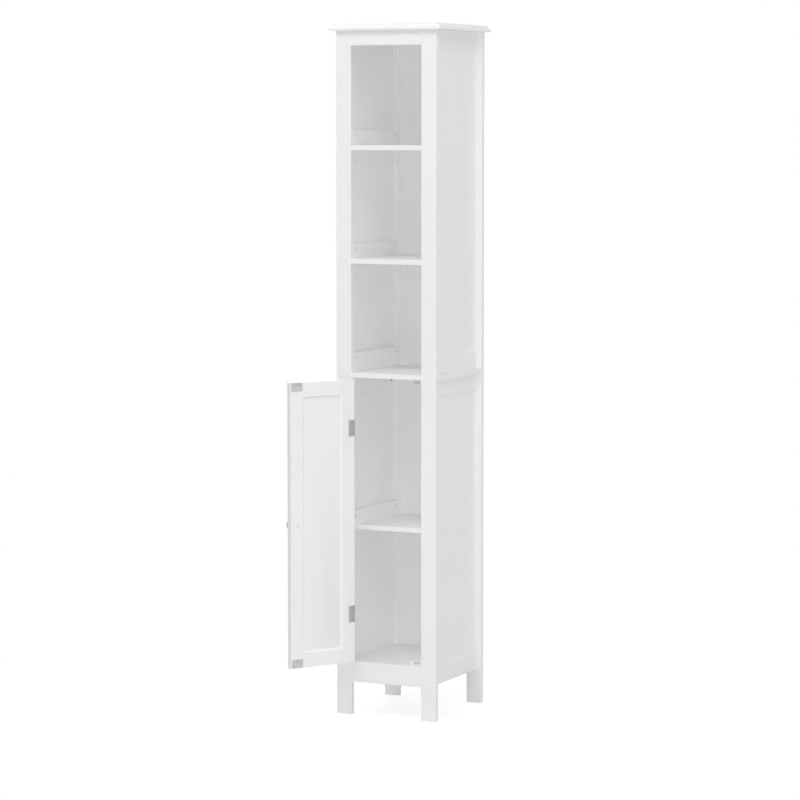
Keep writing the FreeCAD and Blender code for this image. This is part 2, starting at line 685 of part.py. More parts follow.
def knob_screw():
    """A pan-head machine screw through the stile into the knob."""
    head = rod(V(KNOB_X, DOOR_BACK, DOOR_MIDDLE), Y, KNOB_SCREW_HEAD_H, KNOB_SCREW_HEAD_R)
    shank = rod(V(KNOB_X, DOOR_BACK, DOOR_MIDDLE), -Y, FRAME_T + KNOB_SCREW_DEPTH, KNOB_SCREW_R)
    return head.fuse(shank).removeSplitter()


def strike_screw(place):
    z = strike_middle(place) + STRIKE_H / 2 - STRIKE_SCREW_DROP
    return screw(V(STRIKE_X, DOOR_BACK + STRIKE_T, z), -Y, SMALL_SCREW_L)


def strike_middle(place):
    reach = STRIKE_END_INSET + STRIKE_H / 2
    return DOOR_TOP - reach if place == "top" else DOOR_BOTTOM + reach


def strike_plate(place):
    z = strike_middle(place)
    plate = block(STRIKE_X - STRIKE_W / 2, STRIKE_X + STRIKE_W / 2, DOOR_BACK, DOOR_BACK + STRIKE_T,
                  z - STRIKE_H / 2, z + STRIKE_H / 2)
    corners = [e for e in plate.Edges if e.tangentAt(e.FirstParameter).cross(Y).Length < 1e-6]
    return plate.makeFillet(1.5, corners).cut(strike_screw(place))


DOOR_FASTENERS = door_leaf_screws + [knob_screw(), strike_screw("top"), strike_screw("bottom")]
DOOR_GROOVE = door_panel_space(TONGUE_CLEARANCE)
DOOR_BEVELS = door_bevels()


def make_stile(x0, x1):
    stile = board(x0, x1, FRONT, DOOR_BACK, DOOR_BOTTOM, DOOR_TOP)
    tenons = [rail_tenons(DOOR_BOTTOM, PANEL_BOTTOM), rail_tenons(PANEL_TOP, DOOR_TOP)]
    return without(stile, DOOR_BEVELS + [DOOR_GROOVE] + tenons + DOOR_FASTENERS)


def make_door_rail(z0, z1):
    rail = board(PANEL_LEFT, PANEL_RIGHT, FRONT, DOOR_BACK, z0, z1)
    rail = rail.cut(DOOR_BEVELS + [DOOR_GROOVE])
    tenons = rail_tenons(z0, z1).cut(DOOR_GROOVE)
    return rail.fuse(tenons).removeSplitter()


def save_open(name, solids):
    """Turn the closed door's pieces to the open rest position and write them."""
    turned = []
    for solid in solids:
        piece = solid.copy()
        piece.rotate(PIN_AXIS, Z, -DOOR_OPEN_ANGLE)
        turned.append(piece)
    save(name, turned)


save_open("door_stile_hinge", [make_stile(DOOR_LEFT, PANEL_LEFT)])
save_open("door_stile_free", [make_stile(PANEL_RIGHT, DOOR_RIGHT)])
save_open("door_rail_top", [make_door_rail(PANEL_TOP, DOOR_TOP)])
save_open("door_rail_bottom", [make_door_rail(DOOR_BOTTOM, PANEL_BOTTOM)])
save_open("door_panel", [door_panel_space(0)])
save_open("door_knob", [knob()])
save_open("door_knob_screw", [knob_screw()])
for place in ("top", "bottom"):
    save_open(f"strike_plate_{place}", [strike_plate(place)])
save_open("strike_screws", [strike_screw("top"), strike_screw("bottom")])
for name, centre in HINGE_CENTRES.items():
    save_open(f"{name}_hinge_door_leaf", [without(door_leaf(centre), door_leaf_screws)])
save_open("hinge_screws_door", door_leaf_screws)
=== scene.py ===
import bmesh
import bpy
import json
import math
from mathutils import Matrix, Vector
from mathutils.geometry import interpolate_bezier


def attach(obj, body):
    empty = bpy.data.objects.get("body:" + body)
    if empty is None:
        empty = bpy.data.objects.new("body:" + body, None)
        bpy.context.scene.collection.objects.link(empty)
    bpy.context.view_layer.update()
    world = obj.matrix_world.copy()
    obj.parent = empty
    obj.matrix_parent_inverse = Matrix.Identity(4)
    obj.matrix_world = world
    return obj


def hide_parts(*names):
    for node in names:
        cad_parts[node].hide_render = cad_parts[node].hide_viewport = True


# A tall painted bathroom cabinet with its door standing open, lit as in a plain studio.
# The frame is in metres: +X right, +Y back, +Z up, origin on the floor.
# New pieces are shaped in millimetres, the door's as if it were shut.

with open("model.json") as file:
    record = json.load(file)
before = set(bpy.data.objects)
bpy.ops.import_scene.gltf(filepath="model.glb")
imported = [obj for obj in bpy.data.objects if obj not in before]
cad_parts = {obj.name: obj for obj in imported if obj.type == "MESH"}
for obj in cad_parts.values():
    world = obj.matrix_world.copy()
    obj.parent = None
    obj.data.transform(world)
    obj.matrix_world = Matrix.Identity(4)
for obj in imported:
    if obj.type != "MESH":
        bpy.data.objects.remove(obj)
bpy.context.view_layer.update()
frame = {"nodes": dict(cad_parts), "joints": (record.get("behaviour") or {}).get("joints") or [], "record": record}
nodes = frame["nodes"]
slot_of = {entry["node"]: entry["material_slot"] for entry in frame["record"]["subparts"]}
body_of = {}
for body, members in frame["record"]["behaviour"]["bodies"].items():
    for node in members:
        body_of[node] = body

MM = 0.001
hinge = frame["joints"][0]
HINGE_PIN = Vector((hinge["pos_m"][0] / MM, hinge["pos_m"][1] / MM, 0))
DOOR_OPEN = -math.radians(hinge["range_deg"][1])    # from shut, the end of its travel, to rest


# ---- Places, read from the CAD nodes ------------------------------------------------

def extent(node):
    """A node's low and high corners, to a thousandth of a millimetre."""
    shut = Matrix.Rotation(-DOOR_OPEN if body_of[node] == "door" else 0.0, 3, "Z")
    corners = [shut @ (corner.co / MM - HINGE_PIN) + HINGE_PIN for corner in nodes[node].data.vertices]
    return [Vector([round(pick(axis), 3) for axis in zip(*corners)]) for pick in (min, max)]


def middle(node):
    """The middle of a node's extent."""
    low, high = extent(node)
    return (low + high) / 2


FRONT = extent("lower_post_front_right")[0].y       # front faces of the posts and of the shut door
POST_IN = extent("lower_post_front_right")[0].x     # half the opening between the posts
WALL = extent("lower_side_rail_top_right")[0].x     # inner face of a side wall
DOOR_BACK = extent("door_stile_hinge")[1].y
DOOR_HINGE_EDGE = extent("door_stile_hinge")[0].x
KNOB = middle("door_knob")

HINGES = ("upper", "lower")
ENDS = ("top", "bottom")                            # of the door, each with a strike plate and a catch
SIDES = (-1, 1)

# A cleat starts level with the underside of its shelf; the upper unit's lowest pair stands on the divider.
CLEAT_STARTS = ("shelf_lower", "upper_cleats_right", "shelf_middle", "shelf_top")
SIDE_RAILS = ("lower_side_rail_bottom_right", "lower_side_rail_top_right",
              "upper_side_rail_bottom_right", "upper_side_rail_top_right")


# ---- Sizes that the CAD model has in a plainer form, or not at all -------------------

MERGE_WITHIN = 0.002        # corners nearer than this are one
FLAT_ANGLE = 1.5            # in degrees; facets that meet at less than this are one face

PAINT_RADIUS = 0.3          # of the small rounding that each edge gets
PLASTIC_RADIUS = 0.3
STEEL_RADIUS = 0.12
STAMPED_RADIUS = 0.035      # of a stamped plate's sharper edges
MAGNET_RADIUS = 0.15

TOP_STEP = 7.5              # how far the top board's moulding steps in
TOP_LIP = 4.5               # upright band below its ogee
TOP_BAND = 2.0              # upright band above it
TOP_RADIUS = 0.35
OGEE_STEPS = 8

# Turned outlines are points of (radius, height), and a curve's two middle points are its handles.
KNOB_FOOT = ((0.0, 0.0), (7.0, 0.0), (7.0, 0.8), (6.6, 1.2))
KNOB_NECK_CURVE = ((5.0, 11.0), (5.4, 13.6), (12.3, 13.4), (12.5, 17.0))
KNOB_DOME_CURVE = ((12.5, 17.0), (12.6, 20.6), (6.5, 24.0), (0.0, 24.0))
KNOB_STEPS = 64

# A cross recess is given by its reach, half the width of an arm, and its depth.
HEAD_STEPS = 24
RECESS_TAPER = 0.62         # it narrows to this share at its floor
SCREW_HEAD = ((3.6, 0.15), (3.9, 0.0))
SCREW_RECESS = (2.1, 0.42, 1.1)
SCREW_HEAD_H = 2.2
SCREW_R = 1.9
SMALL_SCREW_L = 11.0
CATCH_SCREW_L = 20.0
CLEAT_SCREW_L = 21.0
LEAF_SCREW_PITCH = 26.0
LEAF_SCREW_IN = 10.8        # from the door's hinge edge
STRIKE_SCREW_DROP = 5.0     # from the upper edge of a strike plate
CATCH_SCREW_INSET = 5.0     # from the ends of a catch
CATCH_SCREW_FACING = {"top": -1, "bottom": 1}    # the heads show on the side away from the board
CLEAT_SCREW_INSET = 10.0    # from the ends of a cleat
CLEAT_SCREW_RISE = 36.0     # above its underside

KNOB_SCREW_HEAD = ((2.3, 1.6), (2.9, 1.35), (3.2, 0.7), (3.2, 0.0))
KNOB_SCREW_RECESS = (1.8, 0.4, 0.9)
KNOB_SCREW_R = 2.0
KNOB_SCREW_L = 24.0

CAM_FLANGE = ((5.1, 0.25), (5.4, 0.05), (5.4, 0.0))
CAM_RECESS = (2.9, 0.6, 3.0)
CAM_R = 4.5
CAM_DEPTH = 9.0
CAM_INSET = 12.0            # from the ends of a side rail

PIN_R = 1.5
PIN_TIP = 0.6               # height of its domed ends
PIN_TIP_STEPS = 6
PIN_CLEARANCE = 0.05        # in the door leaf's knuckle
PIN_STEPS = 24
KNUCKLE_R = 3.2
KNUCKLE_EASE_R = 0.2        # how far its eased ends draw in
KNUCKLE_EASE_H = 0.25       # and how far they reach along it
KNUCKLE_STEPS = 32
KNUCKLE_GAP = 0.4           # between knuckles, and from the front faces back to the leaves' plates
LEAF_T = 1.0
LEAF_START = 1.6            # a leaf meets its knuckles this far behind the pin's axis
LEAF_LAP = 0.1              # how far the door leaf's flap runs into its plate
LEAF_LET_IN = 0.5           # how far the door leaf's plate lies in the wood
LEAF_BEND = 0.9             # outer radius of its bend
BEND_STEPS = 6

STRIKE_CORNER = 0.125
STRIKE_STEPS = 82
RIB_COUNT = 3
RIB_PITCH = 3.2
RIB_DEPTH = 0.45
RIBS_FROM = 8.4             # how far below the plate's top the ribs begin

CATCH_CORNER = 2.0
MAGNET_W = 18.0
MAGNET_H = 7.0              # over both pole plates
MAGNET_D = 9.0
MAGNET_SETBACK = 0.5        # of the magnet behind the edges of its pole plates
POLE_T = 1.4
POLE_GAP = 0.1
MOUTH_CLEARANCE = 0.2       # round the pole plates


# ---- Shader helpers -----------------------------------------------------------------

WHITE = (1, 1, 1, 1)


def feed(tree, given, socket):
    """Links an output to a socket, or sets the socket's own value."""
    if isinstance(given, bpy.types.NodeSocket):
        tree.links.new(given, socket)
    else:
        socket.default_value = given


def add(tree, kind, **settings):
    """A new node. Each setting feeds the socket of that name, or sets a property."""
    node = tree.nodes.new(kind)
    for key, given in settings.items():
        label = key.replace("_", " ")
        if label in node.inputs:
            feed(tree, given, node.inputs[label])
        else:
            setattr(node, key, given)
    return node


def maths(tree, operation, *given):
    """What a Math node makes of its sockets or numbers."""
    node = add(tree, "ShaderNodeMath", operation=operation)
    for value, socket in zip(given, node.inputs):
        feed(tree, value, socket)
    return node.outputs[0]


def swayed(tree, value, by, base):
    """A base, raised by a share of a noise value."""
    return maths(tree, "MULTIPLY_ADD", value, by, base)


def ranged(tree, source, low, high, to_low, to_high):
    """Maps a value from one range to another, clamped."""
    node = add(tree, "ShaderNodeMapRange", clamp=True, Value=source, From_Min=low, From_Max=high,
               To_Min=to_low, To_Max=to_high)
    return node.outputs["Result"]


def noise(tree, place, **settings):
    """A noise texture's value at a place."""
    return add(tree, "ShaderNodeTexNoise", Vector=place, **settings).outputs["Fac"]


def shaded(tree, color, factor):
    """A colour made lighter or darker by a factor."""
    return add(tree, "ShaderNodeVectorMath", operation="SCALE", Vector=color, Scale=factor).outputs["Vector"]


def mixed(tree, factor, first, second):
    """Two shaders, mixed by a factor."""
    node = add(tree, "ShaderNodeMixShader", Fac=factor)
    feed(tree, first, node.inputs[1])
    feed(tree, second, node.inputs[2])
    return node.outputs["Shader"]


def blank_tree(owner):
    """The emptied node tree of a material or world."""
    owner.use_nodes = True
    owner.node_tree.nodes.clear()
    return owner.node_tree


# ---- Shared paint and metal effects, as node groups ---------------------------------

def new_group(name, inputs):
    """A shader node group, with the sockets that its values come from and those that it puts out."""
    group = bpy.data.node_groups.new(name, "ShaderNodeTree")
    for label, kind, value in inputs:
        socket = group.interface.new_socket(label, in_out="INPUT", socket_type=kind)
        socket.default_value = value
    for label, kind in (("Color", "NodeSocketColor"), ("Roughness", "NodeSocketFloat"),
                        ("Height", "NodeSocketFloat")):
        group.interface.new_socket(label, in_out="OUTPUT", socket_type=kind)
    enter = group.nodes.new("NodeGroupInput")
    leave = group.nodes.new("NodeGroupOutput")
    return group, enter.outputs, leave.inputs


def make_sprayed_coat():
    """Sprayed paint: a fine orange-peel height, a slow drift of tone and of sheen."""
    group, given, leave = new_group("sprayed coat", [
        ("Color", "NodeSocketColor", (0.8, 0.8, 0.8, 1)), ("Drift", "NodeSocketFloat", 0.02),
        ("Peel Size", "NodeSocketFloat", 700.0), ("Roughness", "NodeSocketFloat", 0.4)])
    place = add(group, "ShaderNodeTexCoord").outputs["Object"]
    drift = noise(group, place, Scale=4.0, Detail=2.0)
    specks = noise(group, place, Scale=260.0, Detail=1.0)
    peel = noise(group, place, Scale=given["Peel Size"], Detail=3.0, Roughness=0.55)
    tone = swayed(group, drift, by=given["Drift"], base=0.99)
    feed(group, shaded(group, given["Color"], tone), leave["Color"])
    feed(group, swayed(group, specks, by=0.10, base=given["Roughness"]), leave["Roughness"])
    feed(group, peel, leave["Height"])
    return group


def make_brushing():
    """Fine streaks along one axis, with a little cloudiness, for plated sheet steel."""
    group, given, leave = new_group("brushing", [
        ("Color", "NodeSocketColor", (0.6, 0.6, 0.6, 1)), ("Roughness", "NodeSocketFloat", 0.3),
        ("Streaks", "NodeSocketFloat", 0.15)])
    place = add(group, "ShaderNodeTexCoord").outputs["Object"]
    along = add(group, "ShaderNodeMapping", Vector=place, Scale=(1.0, 1.0, 0.06)).outputs["Vector"]
    streak = noise(group, along, Scale=2600.0, Detail=2.0)
    cloud = noise(group, place, Scale=90.0, Detail=3.0)
    tone = swayed(group, cloud, by=0.22, base=0.88)
    feed(group, shaded(group, given["Color"], tone), leave["Color"])
    feed(group, swayed(group, streak, by=given["Streaks"], base=given["Roughness"]), leave["Roughness"])
    feed(group, streak, leave["Height"])
    return group


SPRAYED_COAT = make_sprayed_coat()
BRUSHING = make_brushing()


def new_finish(name, group, bump, bump_mm, **values):
    """A material: one effect group feeding a Principled BSDF, with a bump from its height."""
    material = bpy.data.materials.new(name)
    tree = blank_tree(material)
    effect = add(tree, "ShaderNodeGroup", node_tree=group)
    relief = add(tree, "ShaderNodeBump", Strength=bump, Distance=bump_mm * MM,
                 Height=effect.outputs["Height"])
    surface = add(tree, "ShaderNodeBsdfPrincipled", Base_Color=effect.outputs["Color"],
                  Roughness=effect.outputs["Roughness"], Normal=relief.outputs["Normal"])
    for key, value in values.items():
        label = key.replace("_", " ").title()
        target = effect if label in effect.inputs else surface
        target.inputs[label].default_value = value
    add(tree, "ShaderNodeOutputMaterial", Surface=surface.outputs["BSDF"])
    return material


FINISHES = {
    "white_paint": new_finish("satin white paint", SPRAYED_COAT, 0.10, 0.2,
                              color=(0.92, 0.92, 0.917, 1), drift=0.02, peel_size=650.0, roughness=0.34),
    "white_plastic": new_finish("white moulded plastic", SPRAYED_COAT, 0.2, 0.1,
                                color=(0.86, 0.855, 0.84, 1), drift=0.02, peel_size=2200.0, roughness=0.38),
    "zinc_steel": new_finish("zinc plated steel", BRUSHING, 0.05, 0.1,
                             color=(0.54, 0.545, 0.55, 1), roughness=0.26, metallic=1.0),
    "pale_zinc": new_finish("dull pale zinc plating", BRUSHING, 0.05, 0.1,
                            color=(0.78, 0.785, 0.79, 1), roughness=0.46, metallic=0.6),
    "magnet": new_finish("magnet and pole plates", BRUSHING, 0.1, 0.1,
                         color=(0.66, 0.645, 0.60, 1), roughness=0.42, metallic=0.15),
    "chrome": new_finish("polished chrome", BRUSHING, 0.0, 0.1,
                         color=(0.45, 0.45, 0.46, 1), roughness=0.10, streaks=0.04, metallic=1.0),
    "beech": new_finish("plain beech", BRUSHING, 0.2, 0.2,
                        color=(0.56, 0.36, 0.19, 1), roughness=0.55),
}

# Some screws are duller and paler than the hinges.
OWN_FINISH = {"cleat_screws": "pale_zinc", "catch_screws": "pale_zinc", "door_knob_screw": "pale_zinc"}


def finish_of(node):
    """The material of a node's piece."""
    return FINISHES[OWN_FINISH.get(node, slot_of[node])]


for name, thing in nodes.items():
    thing.data.materials.clear()
    thing.data.materials.append(finish_of(name))


# ---- Modelling helpers ---------------------------------------------------------------

def picked(made, kind):
    """The corners, edges or faces among what an operator made."""
    return [item for item in made["geom"] if isinstance(item, kind)]


def quarter(steps):
    """The angles of a quarter turn in equal steps."""
    return [math.radians(90) * i / steps for i in range(steps + 1)]


def curve(points, steps):
    """Steps along a Bezier curve through the first and last of four (radius, height) points."""
    line = interpolate_bezier(*(Vector(point).to_3d() for point in points), steps)
    return [(point.x, point.y) for point in line]


def turned(profile, steps, closed=False):
    """A shape turned about the Z axis from a profile of (radius, height) points."""
    shape = bmesh.new()
    corners = [shape.verts.new((radius, 0, height)) for radius, height in profile]
    pairs = list(zip(corners, corners[1:]))
    if closed:
        pairs.append((corners[-1], corners[0]))
    wire = [shape.edges.new(pair) for pair in pairs]
    bmesh.ops.spin(shape, geom=corners + wire, cent=(0, 0, 0), axis=(0, 0, 1), angle=math.tau,
                   steps=steps, use_merge=True, use_duplicate=False)
    bmesh.ops.remove_doubles(shape, verts=shape.verts, dist=MERGE_WITHIN)
    bmesh.ops.recalc_face_normals(shape, faces=shape.faces)
    return shape


def slab(low, high):
    """A block between two corners."""
    shape = bmesh.new()
    bmesh.ops.create_cube(shape, size=1.0)
    low, high = Vector(low), Vector(high)
    bmesh.ops.scale(shape, verts=shape.verts, vec=high - low)
    bmesh.ops.translate(shape, verts=shape.verts, vec=(low + high) / 2)
    return shape


def round_edges(shape, axis, radius):
    """Rounds the edges that run along one axis, given by its number."""
    edges = []
    for edge in shape.edges:
        run = edge.verts[1].co - edge.verts[0].co
        if abs(run[axis]) > 0.999 * run.length:
            edges.append(edge)
    bmesh.ops.bevel(shape, geom=edges, offset=radius, offset_type="OFFSET", affect="EDGES",
                    segments=6, profile=0.5, material=-1, clamp_overlap=True)


def scored(shape, point, normal):
    """Cuts the faces along a plane and keeps both sides."""
    everything = list(shape.verts) + list(shape.edges) + list(shape.faces)
    bmesh.ops.bisect_plane(shape, geom=everything, dist=0.0001, plane_co=point, plane_no=normal)


def drawn_out(shape, faces):
    """Extrudes faces and takes the old ones away; gives the new corners and the new faces."""
    made = bmesh.ops.extrude_face_region(shape, geom=faces)
    bmesh.ops.delete(shape, geom=faces, context="FACES")
    return picked(made, bmesh.types.BMVert), picked(made, bmesh.types.BMFace)


def cross_head(rings, recess):
    """A fastener along -Z: a cross recess in a flat face, then rings of (radius, height)."""
    reach, half_width, depth = recess
    shape = bmesh.new()
    bmesh.ops.create_circle(shape, segments=HEAD_STEPS, radius=rings[0][0])
    rim = list(shape.edges)
    cross = bmesh.ops.create_grid(shape, x_segments=3, y_segments=3, size=reach)["verts"]
    for corner in cross:
        for axis in (0, 1):
            if abs(corner.co[axis]) < 0.9 * reach:
                corner.co[axis] = math.copysign(half_width, corner.co[axis])
    between_arms = [face for face in shape.faces
                    if min(abs(value) for value in face.calc_center_median().xy) > half_width]
    bmesh.ops.delete(shape, geom=between_arms, context="FACES")
    arms = list(shape.faces)
    outline = [edge for edge in shape.edges if edge.is_boundary]
    bmesh.ops.bridge_loops(shape, edges=rim + outline)
    floor, _ = drawn_out(shape, arms)
    bmesh.ops.scale(shape, verts=floor, vec=(RECESS_TAPER, RECESS_TAPER, 1))
    bmesh.ops.translate(shape, verts=floor, vec=(0, 0, -depth))
    bmesh.ops.translate(shape, verts=shape.verts, vec=(0, 0, rings[0][1]))
    edge_loop = [edge for edge in shape.edges if edge.is_boundary]
    for radius, height in rings[1:]:
        made = bmesh.ops.extrude_edge_only(shape, edges=edge_loop)
        edge_loop = picked(made, bmesh.types.BMEdge)
        for corner in picked(made, bmesh.types.BMVert):
            corner.co.xy = corner.co.xy.normalized() * radius
            corner.co.z = height
    bmesh.ops.holes_fill(shape, edges=edge_loop, sides=0)
    bmesh.ops.recalc_face_normals(shape, faces=shape.faces)
    return shape


def placed(shape, place, facing):
    """Turns a shape's +Z to the way that it faces, and moves it to its place."""
    turn = Vector(facing).to_track_quat("Z", "Y").to_matrix().to_4x4()
    bmesh.ops.transform(shape, matrix=Matrix.Translation(place) @ turn, verts=shape.verts)
    return shape


def joined(shapes):
    """Several shapes as one, not merged."""
    whole = bmesh.new()
    for shape in shapes:
        mesh = bpy.data.meshes.new("part")
        shape.to_mesh(mesh)
        shape.free()
        whole.from_mesh(mesh)
        bpy.data.meshes.remove(mesh)
    return whole


def keep(shape, node, radius=0.0, crease=35):
    """Writes a shape in metres as the finished piece for a node, on its body and in its finish."""
    mesh = bpy.data.meshes.new(node + "_finished")
    shape.to_mesh(mesh)
    shape.free()
    mesh.shade_smooth()
    mesh.set_sharp_from_angle(angle=math.radians(crease))
    mesh.materials.append(finish_of(node))
    piece = bpy.data.objects.new(node + "_finished", mesh)
    bpy.context.scene.collection.objects.link(piece)
    if radius:
        edge = piece.modifiers.new("small radius", "BEVEL")
        edge.width = radius * MM
        edge.segments = 2
        edge.limit_method = "ANGLE"
        edge.angle_limit = math.radians(25)
        edge.harden_normals = True
    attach(piece, body_of[node])
    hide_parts(node)


def keep_mm(shape, node, radius=0.0, crease=35):
    """The same for a shape in millimetres; the door's pieces are swung open first."""
    if body_of[node] == "door":
        swing = Matrix.Rotation(DOOR_OPEN, 3, "Z")
        bmesh.ops.rotate(shape, verts=shape.verts, cent=HINGE_PIN, matrix=swing)
    bmesh.ops.scale(shape, verts=shape.verts, vec=(MM, MM, MM))
    keep(shape, node, radius, crease)


# ---- Painted boards ------------------------------------------------------------------

def paint_board(node):
    """A board as the spray leaves it: its eased corners run into the faces without a ridge."""
    shape = bmesh.new()
    shape.from_mesh(nodes[node].data)
    bmesh.ops.remove_doubles(shape, verts=shape.verts, dist=MERGE_WITHIN * MM)
    bmesh.ops.dissolve_limit(shape, angle_limit=math.radians(FLAT_ANGLE), use_dissolve_boundaries=False,
                             verts=shape.verts, edges=shape.edges)
    keep(shape, node, PAINT_RADIUS)


def make_top_board():
    """The top board with its ogee, drawn up ring by ring from the underside."""
    low, high = extent("top_board")
    lip = low.z + TOP_LIP
    rise = (high.z - TOP_BAND - lip) / 2
    half = TOP_STEP / 2
    ogee = [(half * (1 - math.cos(swell)), lip + rise * math.sin(swell)) for swell in quarter(OGEE_STEPS)]
    for hollow in quarter(OGEE_STEPS)[1:]:
        ogee.append((half * (1 + math.sin(hollow)), lip + rise * (2 - math.cos(hollow))))
    shape = slab(low, high)
    top = [face for face in shape.faces if face.normal.z > 0.5]
    for corner in top[0].verts:
        corner.co.z = lip
    inward = 0.0
    for step, height in ogee[1:] + [(TOP_STEP, high.z)]:
        ring, top = drawn_out(shape, top)
        for corner in ring:
            corner.co.x -= math.copysign(step - inward, corner.co.x)
            if corner.co.y < 0:
                corner.co.y += step - inward
            corner.co.z = height
        inward = step
    bmesh.ops.recalc_face_normals(shape, faces=shape.faces)
    keep_mm(shape, "top_board", TOP_RADIUS)


# ---- Knob, screws and cam nuts -------------------------------------------------------

def make_knob():
    """A turned knob: a straight tapered stem under a wide domed head."""
    profile = list(KNOB_FOOT) + curve(KNOB_NECK_CURVE, 14) + curve(KNOB_DOME_CURVE, 18)[1:]
    shape = placed(turned(profile, KNOB_STEPS), (KNOB.x, FRONT, KNOB.z), (0, -1, 0))
    keep_mm(shape, "door_knob", crease=30)


def wood_screw(length):
    """A countersunk screw whose head stands just proud of the surface."""
    return cross_head((*SCREW_HEAD, (SCREW_R, -SCREW_HEAD_H), (SCREW_R, -length)), SCREW_RECESS)


def keep_screws(node, length, places):
    """Wood screws at each (place, facing), as one piece."""
    keep_mm(joined([placed(wood_screw(length), place, facing) for place, facing in places]), node)


def make_hinge_screws():
    """Two screws through each leaf, into the post or the door."""
    in_post, in_door = [], []
    for which in HINGES:
        centre = middle(which + "_hinge_frame_leaf").z
        for height in (centre - LEAF_SCREW_PITCH / 2, centre + LEAF_SCREW_PITCH / 2):
            in_post.append(((-POST_IN + LEAF_T, (FRONT + DOOR_BACK) / 2, height), (1, 0, 0)))
            in_door.append(((DOOR_HINGE_EDGE + LEAF_SCREW_IN, DOOR_BACK + LEAF_T, height), (0, 1, 0)))
    keep_screws("hinge_screws_frame", SMALL_SCREW_L, in_post)
    keep_screws("hinge_screws_door", SMALL_SCREW_L, in_door)


def make_strike_and_catch_screws():
    """One screw in each strike plate and two in each catch."""
    in_strikes, in_catches = [], []
    for end in ENDS:
        low, high = extent("strike_plate_" + end)
        in_strikes.append((((low.x + high.x) / 2, high.y, high.z - STRIKE_SCREW_DROP), (0, 1, 0)))
        low, high = extent(end + "_catch_housing")
        facing = CATCH_SCREW_FACING[end]
        face = high.z if facing > 0 else low.z
        for across in (low.x + CATCH_SCREW_INSET, high.x - CATCH_SCREW_INSET):
            in_catches.append(((across, (low.y + high.y) / 2, face), (0, 0, facing)))
    keep_screws("strike_screws", SMALL_SCREW_L, in_strikes)
    keep_screws("catch_screws", CATCH_SCREW_L, in_catches)


def make_cleat_screws():
    """Two screws through each cleat, their heads towards the opening."""
    low, high = extent("lower_cleats_right")
    places = []
    for side in SIDES:
        for start in CLEAT_STARTS:
            height = extent(start)[0].z + CLEAT_SCREW_RISE
            for y in (low.y + CLEAT_SCREW_INSET, high.y - CLEAT_SCREW_INSET):
                places.append(((side * POST_IN, y, height), (-side, 0, 0)))
    keep_screws("cleat_screws", CLEAT_SCREW_L, places)


def make_knob_screw():
    """The pan-head screw that holds the knob from the door's inner face."""
    rings = (*KNOB_SCREW_HEAD, (KNOB_SCREW_R, 0.0), (KNOB_SCREW_R, -KNOB_SCREW_L))
    shape = cross_head(rings, KNOB_SCREW_RECESS)
    keep_mm(placed(shape, (KNOB.x, DOOR_BACK, KNOB.z), (0, 1, 0)), "door_knob_screw")


def make_cam_nuts():
    """The cams that draw the side rails to the posts, set in the inner faces of the rails."""
    rings = (*CAM_FLANGE, (CAM_R, 0.0), (CAM_R, -CAM_DEPTH))
    nuts = []
    for side in SIDES:
        for rail in SIDE_RAILS:
            low, high = extent(rail)
            for y in (low.y + CAM_INSET, high.y - CAM_INSET):
                place = (side * WALL, y, (low.z + high.z) / 2)
                nuts.append(placed(cross_head(rings, CAM_RECESS), place, (-side, 0, 0)))
    keep_mm(joined(nuts), "cam_nuts")


# ---- Hinges --------------------------------------------------------------------------

def knuckle(low, high, bore):
    """A barrel round the pin, with eased ends."""
    eased = KNUCKLE_R - KNUCKLE_EASE_R
    profile = [(bore, low), (eased, low), (KNUCKLE_R, low + KNUCKLE_EASE_H),
               (KNUCKLE_R, high - KNUCKLE_EASE_H), (eased, high), (bore, high)]
    shape = turned(profile, KNUCKLE_STEPS, closed=True)
    bmesh.ops.translate(shape, verts=shape.verts, vec=HINGE_PIN)
    return shape


def make_frame_leaf(which):
    """The leaf on the post, with the outer two knuckles."""
    low, high = extent(which + "_hinge_frame_leaf")
    third = (high.z - low.z) / 3
    seat = FRONT + KNUCKLE_GAP
    parts = [slab((-POST_IN, seat, low.z), (-POST_IN + LEAF_T, high.y, high.z))]
    for z0, z1 in ((low.z, low.z + third), (high.z - third, high.z)):
        parts.append(slab((-POST_IN, HINGE_PIN.y + LEAF_START, z0), (-POST_IN + LEAF_T, seat, z1)))
        parts.append(knuckle(z0, z1, PIN_R))
    keep_mm(joined(parts), which + "_hinge_frame_leaf", STEEL_RADIUS)


def make_door_leaf(which):
    """One bent strip along the door's edge and round onto its inner face, with the middle knuckle."""
    low, high = extent(which + "_hinge_door_leaf")
    third = (high.z - low.z) / 3
    seat = FRONT + KNUCKLE_GAP
    x0 = DOOR_HINGE_EDGE - LEAF_T + LEAF_LET_IN
    y0 = DOOR_BACK + LEAF_T - LEAF_LET_IN
    line = [(x0, seat)]
    for turn in quarter(BEND_STEPS):
        line.append((x0 + LEAF_BEND * (1 - math.cos(turn)), y0 - LEAF_BEND * (1 - math.sin(turn))))
    line.append((high.x, y0))
    strip = bmesh.new()
    corners = [strip.verts.new((x, y, low.z)) for x, y in line]
    wire = [strip.edges.new(pair) for pair in zip(corners, corners[1:])]
    raised = picked(bmesh.ops.extrude_edge_only(strip, edges=wire), bmesh.types.BMVert)
    bmesh.ops.translate(strip, verts=raised, vec=(0, 0, high.z - low.z))
    bmesh.ops.recalc_face_normals(strip, faces=strip.faces)
    bmesh.ops.solidify(strip, geom=strip.faces, thickness=LEAF_T)
    z0, z1 = low.z + third + KNUCKLE_GAP, high.z - third - KNUCKLE_GAP
    flap_front = HINGE_PIN.y + LEAF_START
    flap = slab((DOOR_HINGE_EDGE - LEAF_T, flap_front, z0), (DOOR_HINGE_EDGE, seat + LEAF_LAP, z1))
    parts = [strip, flap, knuckle(z0, z1, PIN_R + PIN_CLEARANCE)]
    keep_mm(joined(parts), which + "_hinge_door_leaf", STEEL_RADIUS)


